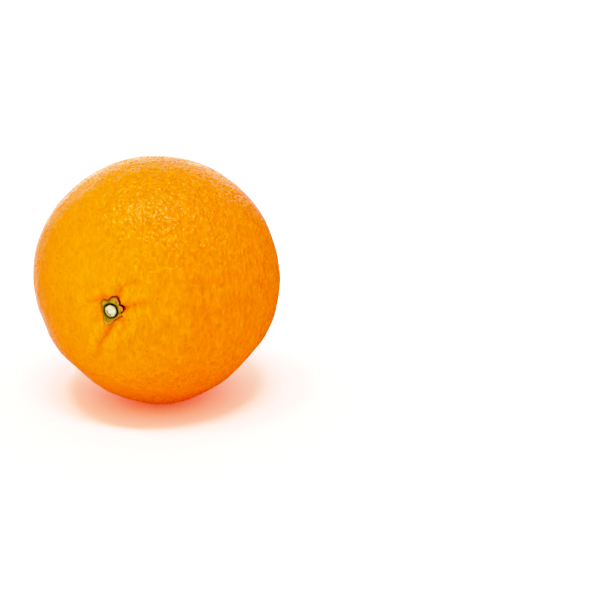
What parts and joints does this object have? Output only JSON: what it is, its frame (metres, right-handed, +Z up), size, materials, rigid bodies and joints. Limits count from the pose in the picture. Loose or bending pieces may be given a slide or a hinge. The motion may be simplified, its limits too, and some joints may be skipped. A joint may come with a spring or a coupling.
{
  "type": "orange fruit",
  "caption": "Whole fresh orange with a furrowed stem end, green star calyx and pale stalk end, resting on a small flat spot of its peel.",
  "frame": {"origin": "middle of the small flat spot that the fruit rests on", "axes": "+Z up, away from the surface; the stem end faces -Y and a little upwards, and +X is to the right of someone who looks at it"},
  "size_m": [0.0781, 0.0752, 0.0774],
  "materials": {
    "peel": "waxy, finely pitted",
    "calyx_green": "dry, matte",
    "stalk_wood": "torn, matte"
  },
  "bodies": {
    "root": {"fruit": "peel", "calyx": "calyx_green", "stem_stub": "stalk_wood"}
  },
  "joints": []
}
